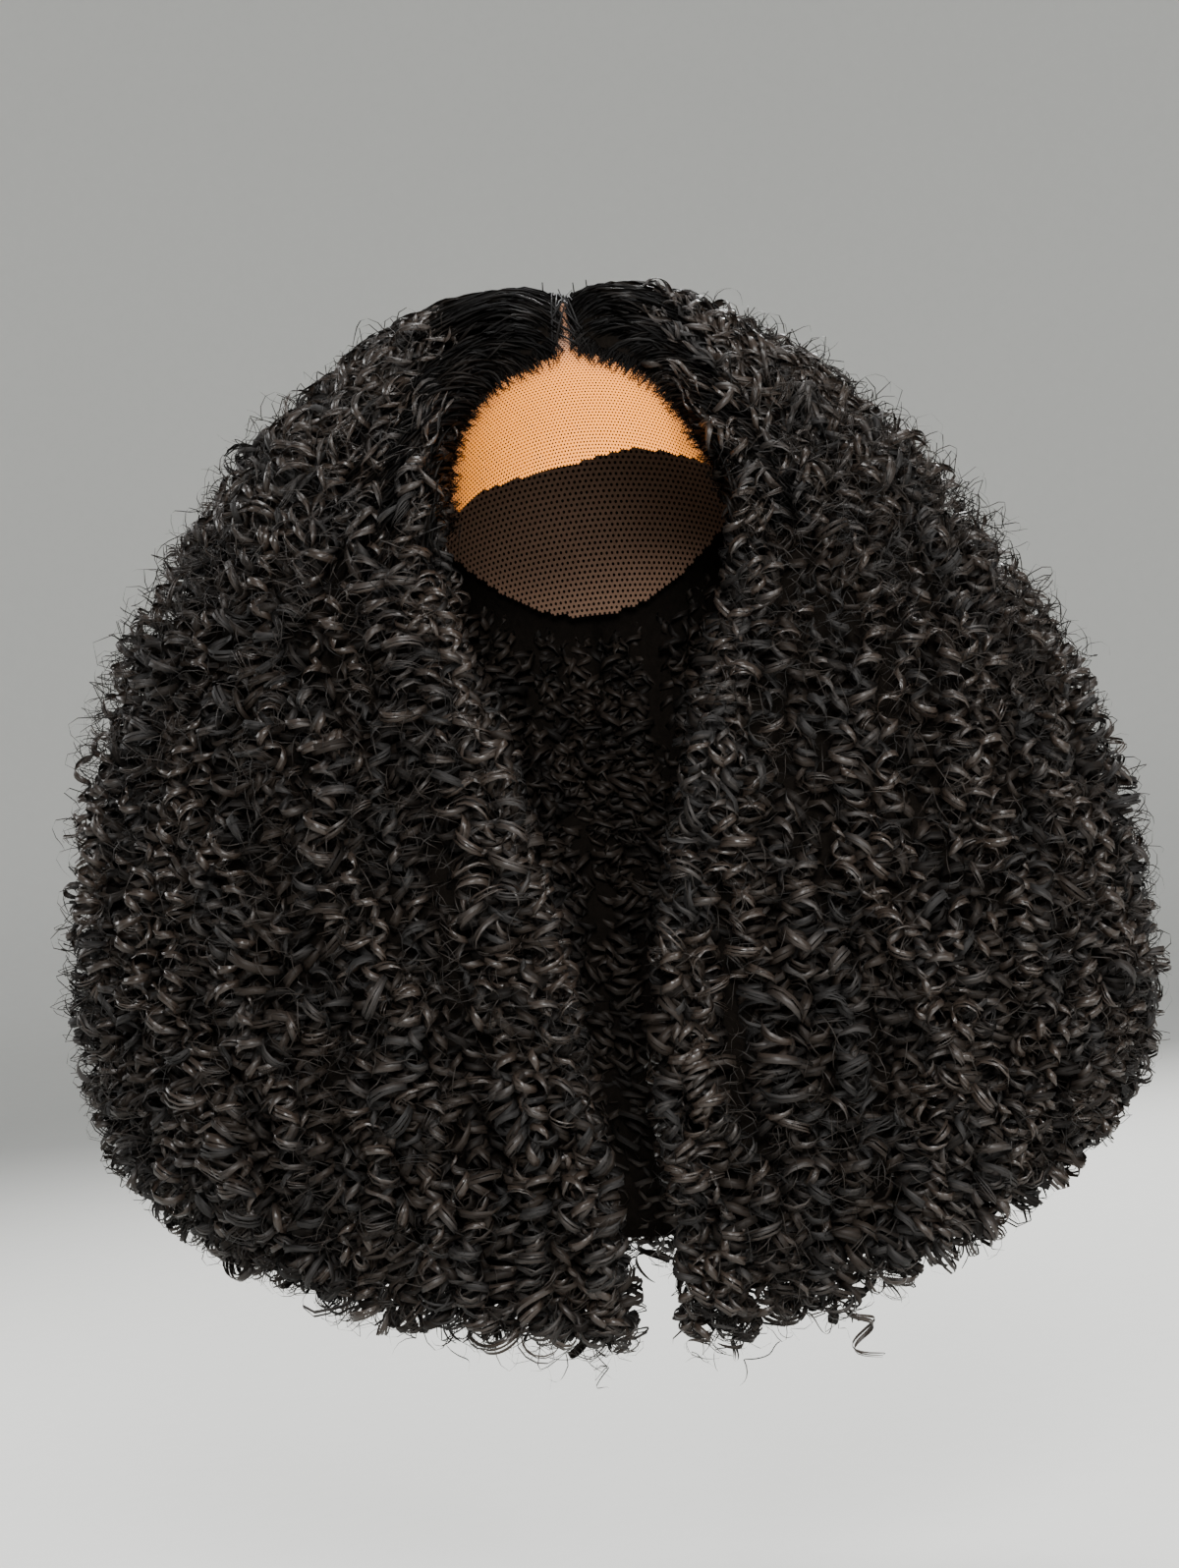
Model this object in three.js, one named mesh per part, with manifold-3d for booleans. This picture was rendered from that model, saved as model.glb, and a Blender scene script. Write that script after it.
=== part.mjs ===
// Curly lace closure wig: a hollow cap, a sheer lace front and three masses of ringlets.
// Millimetres. +Z is up, the face looks along -Y, and the origin is the crown point inside the cap.
import * as THREE from "three";
import { mergeVertices } from "three/addons/utils/BufferGeometryUtils.js";
import Module from "manifold-3d";

const wasm = await Module();
wasm.setup();

// Head that the cap fits: half axes of an ellipsoid whose top is the origin.
const HEAD = { half: 76, front: 95, back: 98, height: 85 };

// Cap and lace walls, and the ear-to-ear seam where they are sewn together.
const CAP_WALL = 1.5;
const LACE_WALL = 1.0;
const SEAM_GAP = 0.4;
const EAR_REACH = 72; // degrees from the crown line to the ear notch
const NAPE_TURN = 216; // degrees from the forehead over the crown to the nape

// Cut edge of the lace above the brows, in degrees from ear to ear and up from the forehead:
// a hanging point at the left temple, an arch over the brows and a tab at the right temple.
const LACE_EDGE = [
  { across: -72, turn: -3 },
  { across: -54, turn: -4 },
  { across: -45, turn: -6.5 },
  { across: -36, turn: -0.5 },
  { across: -18, turn: 2 },
  { across: 0, turn: 4 },
  { across: 18, turn: 7 },
  { across: 36, turn: 4 },
  { across: 45, turn: 1.5 },
  { across: 54, turn: -3.5 },
  { across: 72, turn: -3 },
];

// Hair masses.
const HAIR_TOP = 12; // hair surface above the crown
const HAIR_LENGTH = 464; // from the hair's top to its hem at the front
const SIDE_RISE = 0.134; // share by which the hem is shorter over the shoulders
const HAIR_SEAT = 1.0; // nominal clearance from hair to cap
const PARTING = 0.4; // clearance between the front masses and the back mass
const LIP_MOST = 20; // depth of the rounded edge beside the face
const LIP_SHARE = 0.35;
const EDGE_CHAMFER = 0.6; // share of the hair's depth that is left at that edge

// Outline of the hair at each level, measured from the hair's top.
const OUTLINE = [
  { drop: 0, left: 0, right: 0, front: 0, back: 0 },
  { drop: 1.5, left: 26, right: 23, front: 24, back: 25 },
  { drop: 5, left: 52, right: 44, front: 44, back: 46 },
  { drop: 12, left: 72, right: 62, front: 62, back: 68 },
  { drop: 22, left: 90, right: 79, front: 74, back: 92 },
  { drop: 34, left: 108, right: 95, front: 82, back: 112 },
  { drop: 46, left: 124, right: 109, front: 89, back: 126 },
  { drop: 62, left: 145, right: 126, front: 97, back: 141 },
  { drop: 80, left: 164, right: 144, front: 105, back: 156 },
  { drop: 108, left: 187, right: 167, front: 113, back: 175 },
  { drop: 148, left: 212, right: 192, front: 122, back: 194 },
  { drop: 195, left: 233, right: 213, front: 130, back: 209 },
  { drop: 248, left: 246, right: 229, front: 138, back: 219 },
  { drop: 305, left: 250, right: 234, front: 143, back: 224 },
  { drop: 352, left: 249, right: 233, front: 144, back: 223 },
  { drop: 398, left: 242, right: 228, front: 141, back: 217 },
  { drop: 431, left: 228, right: 216, front: 134, back: 206 },
  { drop: 452, left: 210, right: 199, front: 125, back: 190 },
  { drop: 464, left: 192, right: 181, front: 114, back: 172 },
];

// Hollow for the face, neck and shoulders below the widest part of the head.
const HOLLOW = [
  { drop: 97, half: 78.5, front: 97.5, back: 100.5 },
  { drop: 125, half: 77.5, front: 92, back: 97 },
  { drop: 152, half: 74, front: 85, back: 89 },
  { drop: 200, half: 65, front: 71, back: 78 },
  { drop: 250, half: 63, front: 64, back: 73 },
  { drop: 300, half: 70, front: 67, back: 76 },
  { drop: 350, half: 97, front: 73, back: 86 },
  { drop: 400, half: 130, front: 80, back: 96 },
  { drop: 440, half: 156, front: 85, back: 103 },
  { drop: 464, half: 169, front: 87, back: 106 },
];

// Edge of the hair beside the parting, the forehead and the face, from the centre plane.
const FACE_EDGE = [
  { drop: 0, left: 1.5, right: 1.5 },
  { drop: 38, left: 1.5, right: 1.5 },
  { drop: 43, left: 14, right: 12 },
  { drop: 49, left: 32, right: 26 },
  { drop: 59, left: 44, right: 38 },
  { drop: 72, left: 54, right: 47 },
  { drop: 86, left: 58, right: 54 },
  { drop: 100, left: 60, right: 61 },
  { drop: 124, left: 62, right: 61 },
  { drop: 152, left: 60, right: 55 },
  { drop: 178, left: 55, right: 45 },
  { drop: 204, left: 45, right: 34 },
  { drop: 247, left: 37, right: 22 },
  { drop: 300, left: 28, right: 9 },
  { drop: 348, left: 24, right: 4 },
  { drop: 390, left: 20, right: 3 },
  { drop: 464, left: 17, right: 3 },
];

// Levels of the hair's mesh, close together over the crown and the hairline.
const LEVELS = [0, 1.5, 5, 12, 22, 32, 40, 46, 54, 64, 76, 89, 118, 160, 215, 270, 330, 385, 430, 464];
const FRONT_STEPS = 9;
const BACK_STEPS = 18;

// Ringlets in tiers from the crown to the hem: where each starts and ends, how many there
// are in a quarter of the way round at the front and the back, and their girth.
const TIERS = [
  { start: 24, end: 165, front: 4, back: 3, radius: 12, turns: 1.25 },
  { start: 125, end: 320, front: 5, back: 4, radius: 13, turns: 1.5 },
  { start: 285, end: 473, front: 5, back: 4, radius: 14, turns: 1.5 },
];
const LOCK_SIDES = 5;
const LOCK_STEPS = 7;
const LOCK_TIP = 0.3; // share of the girth left at a ringlet's two ends
const LOCK_SWAY = 7; // helix radius
const LOCK_SINK = 0.45; // share of the girth that lies inside the mass
const LOCK_RELIEF = 8; // depth from the outline, which the ringlets reach, to the mass behind them

const rad = THREE.MathUtils.degToRad;

// Value of a named column at one level of a table, with smooth slopes between its rows.
function sample(table, column, drop) {
  const last = table.length - 1;
  const clamped = THREE.MathUtils.clamp(drop, table[0].drop, table[last].drop);
  let i = 0;
  while (i < last - 1 && table[i + 1].drop < clamped) i += 1;
  const slope = (k) => {
    const a = table[Math.max(k - 1, 0)];
    const b = table[Math.min(k + 1, last)];
    return (b[column] - a[column]) / (b.drop - a.drop);
  };
  const span = table[i + 1].drop - table[i].drop;
  const t = (clamped - table[i].drop) / span;
  const rise = table[i + 1][column] - table[i][column];
  const from = slope(i) * span;
  const to = slope(i + 1) * span;
  return table[i][column] + t * (from + t * (3 * rise - 2 * from - to + t * (from + to - 2 * rise)));
}

// Straight-line reading of a table by a named key, for edges that turn sharply.
function sampleStraight(table, key, column, value) {
  const found = table.findIndex((row) => row[key] >= value);
  const i = found < 0 ? table.length - 1 : Math.max(found, 1);
  const a = table[i - 1];
  const b = table[i];
  return THREE.MathUtils.mapLinear(value, a[key], b[key], a[column], b[column]);
}

// Height of a level at one angle round the wig: the hem rises over the shoulders.
function heightAt(turn, drop) {
  const rise = SIDE_RISE * Math.sin(turn) ** 2 * (drop / HAIR_LENGTH) ** 2;
  return HAIR_TOP - drop * (1 - rise);
}

// Point of an oval at an angle from the front, positive to the right.
function ovalPoint(turn, half, front, back, z) {
  const reach = Math.cos(turn) > 0 ? front : back;
  return new THREE.Vector3(half * Math.sin(turn), -reach * Math.cos(turn), z);
}

// Outer surface of the hair behind its ringlets.
function massAt(column, drop) {
  return sample(OUTLINE, column, drop) - LOCK_RELIEF * THREE.MathUtils.smoothstep(drop, 12, 90);
}

function outerPoint(turn, drop) {
  const half = massAt(turn < 0 ? "left" : "right", drop);
  return ovalPoint(turn, half, massAt("front", drop), massAt("back", drop), heightAt(turn, drop));
}

// Half width, front and back of the hair's hollow, which follows the cap and then the neck.
const SEAT = CAP_WALL + HAIR_SEAT;
const HOLLOW_TOP = HAIR_TOP - SEAT;
function hollowAt(drop) {
  const aboveEars = HOLLOW[0].drop - drop;
  if (aboveEars <= 0) {
    return {
      half: sample(HOLLOW, "half", drop),
      front: sample(HOLLOW, "front", drop),
      back: sample(HOLLOW, "back", drop),
    };
  }
  const spread = Math.sqrt(Math.max(1 - (aboveEars / (HEAD.height + SEAT)) ** 2, 0));
  return {
    half: (HEAD.half + SEAT) * spread,
    front: (HEAD.front + SEAT) * spread,
    back: (HEAD.back + SEAT) * spread,
  };
}

// Level of the hollow that faces an outer level.
function innerDrop(drop) {
  return HOLLOW_TOP + (drop * (HAIR_LENGTH - HOLLOW_TOP)) / HAIR_LENGTH;
}

function innerPoint(turn, drop) {
  const { half, front, back } = hollowAt(drop);
  return ovalPoint(turn, half, front, back, heightAt(turn, drop));
}

// Closed solid between two grids of points with the same rows and columns.
function wallGeometry(outerRows, innerRows) {
  const rows = outerRows.length;
  const columns = outerRows[0].length;
  const points = [...outerRows.flat(), ...innerRows.flat()];
  const inside = rows * columns;
  const at = (row, column) => row * columns + column;
  const index = [];
  const quad = (a, b, c, d) => index.push(a, b, c, a, c, d);
  for (let r = 0; r < rows - 1; r += 1) {
    for (let c = 0; c < columns - 1; c += 1) {
      quad(at(r, c), at(r + 1, c), at(r + 1, c + 1), at(r, c + 1));
      quad(inside + at(r, c), inside + at(r, c + 1), inside + at(r + 1, c + 1), inside + at(r + 1, c));
    }
    const end = columns - 1;
    quad(at(r, 0), inside + at(r, 0), inside + at(r + 1, 0), at(r + 1, 0));
    quad(at(r, end), at(r + 1, end), inside + at(r + 1, end), inside + at(r, end));
  }
  for (let c = 0; c < columns - 1; c += 1) {
    const end = rows - 1;
    quad(at(0, c), at(0, c + 1), inside + at(0, c + 1), inside + at(0, c));
    quad(at(end, c), inside + at(end, c), inside + at(end, c + 1), at(end, c + 1));
  }
  return new THREE.BufferGeometry().setFromPoints(points).setIndex(index);
}

// Tapered tube through a row of stations, each a centre and the direction away from the wig,
// closed at both ends.
function lockGeometry(stations, radius) {
  const last = stations.length - 1;
  const points = stations.flatMap(({ centre, out }, i) => {
    const before = stations[Math.max(i - 1, 0)].centre;
    const after = stations[Math.min(i + 1, last)].centre;
    const ahead = after.clone().sub(before).normalize();
    const across = new THREE.Vector3().crossVectors(ahead, out).normalize();
    const away = new THREE.Vector3().crossVectors(across, ahead);
    const girth = radius * (LOCK_TIP + (1 - LOCK_TIP) * Math.sin((Math.PI * i) / last) ** 0.6);
    return Array.from({ length: LOCK_SIDES }, (_, k) => {
      const turn = (2 * Math.PI * k) / LOCK_SIDES;
      const point = centre.clone().addScaledVector(away, Math.cos(turn) * girth);
      return point.addScaledVector(across, Math.sin(turn) * girth);
    });
  });
  const index = [];
  for (let i = 0; i < last; i += 1) {
    for (let k = 0; k < LOCK_SIDES; k += 1) {
      const a = i * LOCK_SIDES + k;
      const b = i * LOCK_SIDES + ((k + 1) % LOCK_SIDES);
      index.push(a, b, b + LOCK_SIDES, a, b + LOCK_SIDES, a + LOCK_SIDES);
    }
  }
  const end = last * LOCK_SIDES;
  for (let k = 1; k < LOCK_SIDES - 1; k += 1) {
    index.push(0, k + 1, k, end, end + k, end + k + 1);
  }
  return new THREE.BufferGeometry().setFromPoints(points).setIndex(index);
}

// Solid of a closed geometry. Rows that shrink to a point lose their flat triangles here.
function solidOf(geometry) {
  const bare = geometry.clone();
  bare.deleteAttribute("normal");
  bare.deleteAttribute("uv");
  const merged = mergeVertices(bare, 1e-4);
  const kept = [];
  const corners = merged.index.array;
  for (let i = 0; i < corners.length; i += 3) {
    const [a, b, c] = [corners[i], corners[i + 1], corners[i + 2]];
    if (a !== b && b !== c && c !== a) kept.push(a, b, c);
  }
  return new wasm.Manifold(
    new wasm.Mesh({
      numProp: 3,
      vertProperties: merged.attributes.position.array,
      triVerts: new Uint32Array(kept),
    }),
  );
}

function geometryOf(solid) {
  const { vertProperties, triVerts } = solid.getMesh();
  const geometry = new THREE.BufferGeometry();
  geometry.setAttribute("position", new THREE.BufferAttribute(vertProperties, 3));
  geometry.setIndex(new THREE.BufferAttribute(triVerts, 1));
  geometry.computeVertexNormals();
  return geometry;
}

// Point of the head's ellipsoid, grown by a wall. Across runs ear to ear over the crown, and
// turn runs from the forehead over the crown to the nape.
function headPoint(across, turn, grown) {
  const ring = Math.cos(across);
  const reach = Math.cos(turn) > 0 ? HEAD.front : HEAD.back;
  return new THREE.Vector3(
    (HEAD.half + grown) * Math.sin(across),
    -(reach + grown) * ring * Math.cos(turn),
    (HEAD.height + grown) * ring * Math.sin(turn) - HEAD.height,
  );
}

// Wall over the head between two edges, each a function of the position ear to ear.
const ACROSS_STEPS = 16;
function headWall(fromEdge, toEdge, steps, wall, shift) {
  const rowsAt = (grown) =>
    Array.from({ length: steps + 1 }, (_, r) =>
      Array.from({ length: ACROSS_STEPS + 1 }, (_, c) => {
        const across = rad(THREE.MathUtils.mapLinear(c, 0, ACROSS_STEPS, -EAR_REACH, EAR_REACH));
        const turn = THREE.MathUtils.lerp(fromEdge(across), toEdge(across), r / steps);
        return headPoint(across, turn, grown).add(shift);
      }),
    );
  return wallGeometry(rowsAt(0), rowsAt(wall));
}

// Back cap from the seam over the crown to the nape.
const CAP_ROWS = 11;
function capGeometry() {
  const seam = () => Math.PI / 2;
  const nape = (across) => rad(THREE.MathUtils.lerp(180, NAPE_TURN, Math.cos(across)));
  return headWall(seam, nape, CAP_ROWS, CAP_WALL, new THREE.Vector3(0, SEAM_GAP, 0));
}

// Lace front from its cut edge above the brows, under the hairline, to the seam at the crown.
const LACE_ROWS = 9;
function laceGeometry() {
  const brow = (across) =>
    rad(sampleStraight(LACE_EDGE, "across", "turn", THREE.MathUtils.radToDeg(across)));
  const seam = () => Math.PI / 2;
  return headWall(brow, seam, LACE_ROWS, LACE_WALL, new THREE.Vector3());
}

// Angle of a front mass's edge beside the face, on an oval of a given half width.
function edgeTurn(side, drop, half, lip) {
  const edge = sampleStraight(FACE_EDGE, "drop", side, drop) + lip;
  return Math.asin(Math.min(edge / Math.max(half, edge), 1));
}

// The same at the hair's outer surface, where the edge is rounded back by a lip.
function outerEdgeTurn(side, drop) {
  const half = massAt(side, drop);
  const depth = half - hollowAt(innerDrop(drop)).half;
  return edgeTurn(side, drop, half, Math.min(LIP_MOST, LIP_SHARE * Math.max(depth, 0)));
}

// Front mass from the parting and the face edge round to the ear line.
function frontMassGeometry(side, sign) {
  const outerRows = [];
  const innerRows = [];
  for (const drop of LEVELS) {
    const low = innerDrop(drop);
    const outerEdge = outerEdgeTurn(side, drop);
    const innerEdge = edgeTurn(side, low, hollowAt(low).half, 0);
    const outerRow = [];
    const innerRow = [];
    for (let c = 0; c <= FRONT_STEPS; c += 1) {
      const u = c / FRONT_STEPS;
      const inner = innerPoint(sign * THREE.MathUtils.lerp(innerEdge, Math.PI / 2, u), low);
      const outer = outerPoint(sign * THREE.MathUtils.lerp(outerEdge, Math.PI / 2, u), drop);
      if (c === 0) outer.lerpVectors(inner, outer, EDGE_CHAMFER);
      innerRow.push(inner);
      outerRow.push(outer);
    }
    outerRows.push(sign > 0 ? outerRow : outerRow.reverse());
    innerRows.push(sign > 0 ? innerRow : innerRow.reverse());
  }
  return wallGeometry(outerRows, innerRows);
}

// Back mass from ear line to ear line.
function backMassGeometry() {
  const turnAt = (c) => Math.PI / 2 + (Math.PI * c) / BACK_STEPS;
  const wrapped = (turn) => (turn > Math.PI ? turn - 2 * Math.PI : turn);
  const shift = new THREE.Vector3(0, PARTING, 0);
  const rowOf = (surface, drop) =>
    Array.from({ length: BACK_STEPS + 1 }, (_, c) => surface(wrapped(turnAt(c)), drop).add(shift));
  return wallGeometry(
    LEVELS.map((drop) => rowOf(outerPoint, drop)),
    LEVELS.map((drop) => rowOf(innerPoint, innerDrop(drop))),
  );
}

// One ringlet that winds down the hair's surface. The turn round the wig may change on the way.
function ringlet(turnAt, tier, phase) {
  const stations = [];
  for (let i = 0; i <= LOCK_STEPS; i += 1) {
    const t = i / LOCK_STEPS;
    const drop = THREE.MathUtils.lerp(tier.start, tier.end, t);
    const level = Math.min(drop, HAIR_LENGTH);
    const centre = outerPoint(turnAt(level), level);
    centre.z += level - drop;
    const out = new THREE.Vector3(centre.x, centre.y, 0).normalize();
    const along = new THREE.Vector3(-out.y, out.x, 0);
    const wind = 2 * Math.PI * tier.turns * t + phase;
    centre.addScaledVector(out, LOCK_SWAY * Math.cos(wind) - LOCK_SINK * tier.radius);
    centre.addScaledVector(along, LOCK_SWAY * Math.sin(wind));
    stations.push({ centre, out });
  }
  return solidOf(lockGeometry(stations, tier.radius));
}

// Ringlets of every tier, spread over a share that runs from 0 at the first edge to 1.
function ringlets(turnOf, place) {
  return TIERS.flatMap((tier, row) =>
    Array.from({ length: tier[place] }, (_, i) => {
      const share = (i + 0.5 + 0.25 * (-1) ** row) / tier[place];
      return ringlet((drop) => turnOf(share, drop), tier, 2.4 * i + 1.3 * row);
    }),
  );
}

// Block that keeps a mass on its own side of the ear line and of the parting.
const REACH = 600;
function sideBlock(xFrom, xTo, yFrom, yTo) {
  const block = new THREE.BoxGeometry(xTo - xFrom, yTo - yFrom, 2 * REACH);
  block.translate((xFrom + xTo) / 2, (yFrom + yTo) / 2, 0);
  return solidOf(block);
}

function fused(backing, locks, block) {
  return locks.reduce((mass, lock) => mass.add(lock), solidOf(backing)).intersect(block);
}

function frontMass(side) {
  const sign = side === "left" ? -1 : 1;
  const turnOf = (share, drop) =>
    sign * THREE.MathUtils.lerp(outerEdgeTurn(side, drop), Math.PI / 2, share);
  const xRange = sign < 0 ? [-REACH, -PARTING / 2] : [PARTING / 2, REACH];
  const block = sideBlock(...xRange, -REACH, 0);
  return fused(frontMassGeometry(side, sign), ringlets(turnOf, "front"), block);
}

function backMass() {
  const block = sideBlock(-REACH, REACH, PARTING, REACH);
  const locks = [-1, 1].flatMap((sign) =>
    ringlets((share) => (sign * Math.PI * (1 + share)) / 2, "back"),
  );
  return fused(backMassGeometry(), locks, block);
}

function piece(name, geometry, color, roughness) {
  const material = new THREE.MeshStandardMaterial({ color, roughness, metalness: 0 });
  const mesh = new THREE.Mesh(geometry, material);
  mesh.name = name;
  return mesh;
}

const HAIR_BLACK = 0x14120f;
const CAP_BROWN = 0x3a2418;
const LACE_BEIGE = 0xd9a87e;

const wig = new THREE.Group();
wig.add(piece("wig_cap", geometryOf(solidOf(capGeometry())), CAP_BROWN, 0.9));
wig.add(piece("lace_closure", geometryOf(solidOf(laceGeometry())), LACE_BEIGE, 0.85));
wig.add(piece("closure_hair_left", geometryOf(frontMass("left")), HAIR_BLACK, 0.45));
wig.add(piece("closure_hair_right", geometryOf(frontMass("right")), HAIR_BLACK, 0.45));
wig.add(piece("weft_hair", geometryOf(backMass()), HAIR_BLACK, 0.45));

export default wig;
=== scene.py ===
import math
from collections import namedtuple

import bpy
import numpy as np
from mathutils import Matrix, Vector


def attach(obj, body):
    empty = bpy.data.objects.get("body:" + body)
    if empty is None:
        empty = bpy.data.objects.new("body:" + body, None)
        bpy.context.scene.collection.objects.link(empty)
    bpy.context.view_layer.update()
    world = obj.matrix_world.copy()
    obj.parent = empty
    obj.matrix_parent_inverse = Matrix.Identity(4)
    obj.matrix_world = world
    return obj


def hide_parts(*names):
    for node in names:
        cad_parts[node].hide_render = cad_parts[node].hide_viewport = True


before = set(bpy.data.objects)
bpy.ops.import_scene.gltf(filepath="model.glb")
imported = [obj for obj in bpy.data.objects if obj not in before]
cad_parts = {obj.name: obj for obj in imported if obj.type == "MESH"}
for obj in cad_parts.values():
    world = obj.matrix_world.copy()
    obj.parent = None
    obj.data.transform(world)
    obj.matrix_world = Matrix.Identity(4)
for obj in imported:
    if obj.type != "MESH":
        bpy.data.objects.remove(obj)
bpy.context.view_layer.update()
rng = np.random.default_rng(11)
TAU = 2 * math.pi
TINY = 1e-9

AMOUNT = 1.0

# Sizes in millimetres; meshes are written in metres. Drops count down from the top of the hair.
MM = 0.001
HAIR_TOP = 12.0
HAIR_LENGTH = 464.0
END_DROP = 470.0
SIDE_RISE = 0.134
HAIR_MIDDLE = np.array([0.0, 0.0, -190.0])
HEAD_HALF, HEAD_FRONT, HEAD_BACK, HEAD_HEIGHT = 76.0, 95.0, 98.0, 85.0

# Degrees on the head: reach to the ears, the crown seam with half its gap, and the nape.
EAR_REACH = 72.0
SEAM_TURN, SEAM_GAP = 90.0, 0.5
NAPE_TURN = 216.0

# Share of the root line that runs along the parting; the rest follows the hairline.
PARTING_SHARE = 0.416

# How far behind the hair's edge the outside and the inside of the hair begin.
OUTER_INSET, INNER_INSET = 5.0, 1.0

# Drop on the hollow that lies under the top of the outline.
INNER_TOP = 11.0

# Outline of the hair at each level: drop from the top, left, right, front and back.
OUTLINE = np.array([
    (0, 0, 0, 0, 0),
    (1.5, 26, 23, 24, 25),
    (5, 52, 44, 44, 46),
    (12, 72, 62, 62, 68),
    (22, 90, 79, 74, 92),
    (34, 108, 95, 82, 112),
    (46, 124, 109, 89, 126),
    (62, 145, 126, 97, 141),
    (80, 164, 144, 105, 156),
    (108, 187, 167, 113, 175),
    (148, 212, 192, 122, 194),
    (195, 233, 213, 130, 209),
    (248, 246, 229, 138, 219),
    (305, 250, 234, 143, 224),
    (352, 249, 233, 144, 223),
    (398, 242, 228, 141, 217),
    (431, 228, 216, 134, 206),
    (452, 210, 199, 125, 190),
    (464, 192, 181, 114, 172),
], float)

# Hollow for the head, neck and shoulders: drop, half width, front and back.
HOLLOW = np.array([
    (9.5, 0, 0, 0),
    (15, 27, 33, 34),
    (25, 45, 55, 57),
    (40, 60, 74, 76),
    (60, 71, 88, 91),
    (97, 78.5, 97.5, 100.5),
    (125, 77.5, 92, 97),
    (152, 74, 85, 89),
    (200, 65, 71, 78),
    (250, 63, 64, 73),
    (300, 70, 67, 76),
    (350, 97, 73, 86),
    (400, 130, 80, 96),
    (440, 156, 85, 103),
    (464, 169, 87, 106),
], float)

# Edge of the hair beside the parting, the forehead and the face: drop, left and right.
FACE_EDGE = np.array([
    (0, 1.5, 1.5), (38, 1.5, 1.5), (43, 14, 12), (49, 32, 26), (59, 44, 38), (72, 54, 47),
    (86, 58, 54), (100, 60, 61), (124, 62, 61), (152, 60, 55), (178, 55, 45), (204, 45, 34),
    (247, 37, 22), (300, 28, 9), (348, 24, 4), (390, 20, 3), (464, 17, 3),
], float)

# Front edge of the lace, not yet trimmed: degrees from ear to ear, and up from the head's middle.
LACE_EDGE = np.array([
    (-72, -3), (-54, -4), (-45, -6.5), (-36, -0.5), (-18, 2), (0, 4),
    (18, 7), (36, 4), (45, 1.5), (54, -3.5), (72, -3),
], float)


def read(table, column, key):
    return np.interp(key, table[:, 0], table[:, column])


def unit(vectors):
    length = np.linalg.norm(vectors, axis=-1, keepdims=True)
    return vectors / np.maximum(length, TINY)


def ease(t):
    t = np.clip(t, 0, 1)
    return t * t * (3 - 2 * t)


def lengths_along(points):
    steps = np.linalg.norm(np.diff(points, axis=-2), axis=-1)
    start = np.zeros((*steps.shape[:-1], 1))
    return np.concatenate([start, np.cumsum(steps, axis=-1)], axis=-1)


# Side is -1 on the left and 1 on the right.
def half_width(side, drop):
    return read(OUTLINE, 1 if side < 0 else 2, drop)


def face_edge(side, drop):
    return read(FACE_EDGE, 1 if side < 0 else 2, drop)


# Height of a level at an angle round the wig, where the hem rises over the shoulders.
def height_at(turn, drop):
    level = np.minimum(drop, HAIR_LENGTH)
    rise = SIDE_RISE * np.sin(turn) ** 2 * (level / HAIR_LENGTH) ** 2
    return HAIR_TOP - drop + level * rise


def oval(turn, half, front, back, z):
    reach = np.where(np.cos(turn) > 0, front, back)
    return np.stack([half * np.sin(turn), -reach * np.cos(turn), z], axis=-1)


def outline_point(turn, drop):
    half = np.where(np.sin(turn) < 0, half_width(-1, drop), half_width(1, drop))
    return oval(turn, half, read(OUTLINE, 3, drop), read(OUTLINE, 4, drop), height_at(turn, drop))


def hollow_point(turn, drop):
    z = height_at(turn, drop)
    return oval(turn, read(HOLLOW, 1, drop), read(HOLLOW, 2, drop), read(HOLLOW, 3, drop), z)


# Outward direction of the outline, by differences, the same above a level near the top.
NORMAL_TOP = 4.0
ROUND_STEP, DOWN_STEP = 0.02, 3.0


def outline_normal(turn, drop):
    level = np.maximum(drop, NORMAL_TOP)
    along = outline_point(turn + ROUND_STEP, level) - outline_point(turn - ROUND_STEP, level)
    down = outline_point(turn, level + DOWN_STEP) - outline_point(turn, level - DOWN_STEP)
    normal = unit(np.cross(along, down))
    away = outline_point(turn, level) - HAIR_MIDDLE
    return np.where((normal * away).sum(-1, keepdims=True) < 0, -normal, normal)


# Angle round the wig at a share: 0 at the face edge, 1 at the ear line, 2 at the back's middle.
def turn_from(side, share, edge, half):
    front = np.arcsin(np.clip(edge / np.maximum(half, edge), 0, 1))
    turn = front + (math.pi / 2 - front) * np.minimum(share, 1)
    return side * (turn + math.pi / 2 * np.maximum(share - 1, 0))


def outer_turn(side, share, drop):
    return turn_from(side, share, face_edge(side, drop) + OUTER_INSET, half_width(side, drop))


def inner_turn(side, share, drop):
    return turn_from(side, share, face_edge(side, drop) + INNER_INSET, read(HOLLOW, 1, drop))


# Share round the front of the wig at a distance across.
def share_at(side, across, drop):
    half = half_width(side, drop)
    front = np.arcsin(np.clip((face_edge(side, drop) + OUTER_INSET) / half, 0, 1))
    turn = np.arcsin(np.clip(across / half, 0, 1))
    return np.clip((turn - front) / (math.pi / 2 - front), 0, 1)


# Point inside the hair: a depth of 0 lies on the outline and a depth of 1 on the hollow.
def inside_point(side, share, drop, depth):
    outer = outline_point(outer_turn(side, share, drop), drop)
    low = INNER_TOP + drop * (HAIR_LENGTH - INNER_TOP) / HAIR_LENGTH
    inner = hollow_point(inner_turn(side, share, low), low)
    return outer + (inner - outer) * np.asarray(depth)[..., None]


# Thickness of the hair in millimetres, to turn depths into shares of it.
def thickness(side, share, drop):
    outer = inside_point(side, share, drop, np.zeros(np.shape(share)))
    inner = inside_point(side, share, drop, np.ones(np.shape(share)))
    return np.linalg.norm(outer - inner, axis=-1)


# Shares that lie evenly along the surface at a level, for places from 0 to 1 in a quarter.
EVEN_STEPS = 61


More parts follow.
